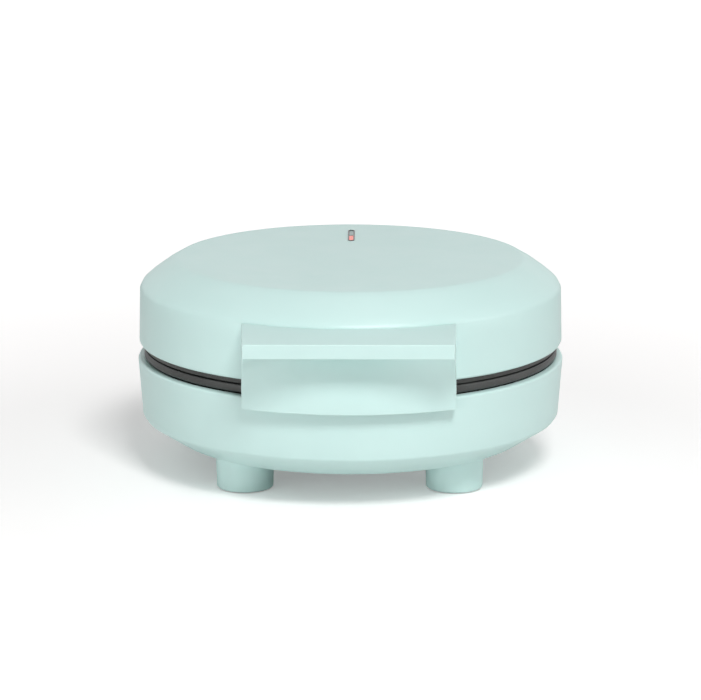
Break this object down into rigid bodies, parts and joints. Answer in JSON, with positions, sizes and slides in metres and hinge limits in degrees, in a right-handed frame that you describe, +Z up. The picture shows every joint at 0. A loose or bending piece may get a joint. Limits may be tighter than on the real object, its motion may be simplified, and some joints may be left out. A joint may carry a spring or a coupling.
{
  "type": "bubble waffle maker",
  "caption": "Round bubble waffle maker with a hinged lid, cast plates with ball-shaped moulds, a heater behind each plate, a scooped front handle and a signal lamp window.",
  "frame": {"origin": "on the table, at the middle of the round body's footprint, on the body's upright axis", "axes": "+Z is up, -Y is the front, where the handle is, and +Y is the back, where the hinge is"},
  "size_m": [0.212, 0.25, 0.1053],
  "materials": {
    "mint_plastic": "satin moulded",
    "rubber_pad": "soft matt",
    "coated_plate": "dark non-stick coating",
    "heater_sheath": "dulled by heat",
    "zinc_steel": "zinc plated",
    "reflector_sheet": "bright sheet",
    "switch_body": "moulded",
    "fuse_body": "ceramic look",
    "terminal_plastic": "moulded",
    "lead_sleeve": "woven glass sleeve",
    "gland_plastic": "moulded",
    "pin_steel": "ground",
    "bezel_black": "gloss",
    "lens_red": "clear tinted",
    "lens_green": "clear tinted",
    "lamp_glass": "clear"
  },
  "bodies": {
    "base": {"base_housing": "mint_plastic", "foot_pads": "rubber_pad", "lower_plate": "coated_plate", "lower_heater": "heater_sheath", "lower_heater_clamps": "zinc_steel", "lower_clamp_screws": "zinc_steel", "lower_thermostat": "switch_body", "lower_thermal_fuse": "fuse_body", "lower_reflector": "reflector_sheet", "base_screws": "zinc_steel", "terminal_block": "terminal_plastic", "base_leads": "lead_sleeve", "cord_gland": "gland_plastic", "hinge_pins": "pin_steel"},
    "lid": {"lid_housing": "mint_plastic", "handle": "mint_plastic", "handle_screws": "zinc_steel", "upper_plate": "coated_plate", "plate_screws": "zinc_steel", "upper_heater": "heater_sheath", "upper_heater_clamps": "zinc_steel", "upper_clamp_screws": "zinc_steel", "upper_thermostat": "switch_body", "upper_thermal_fuse": "fuse_body", "upper_reflector": "reflector_sheet", "reflector_screws": "zinc_steel", "lamp_bezel": "bezel_black", "lamp_lens_red": "lens_red", "lamp_lens_green": "lens_green", "lamp_holder": "switch_body", "neon_lamps": "lamp_glass", "lid_leads": "lead_sleeve"}
  },
  "joints": [
    {"name": "lid_hinge", "type": "hinge", "parent": "base", "child": "lid", "pos_m": [0, 0.116, 0.0596], "axis": [-1, 0, 0], "range_deg": [0, 92]}
  ]
}
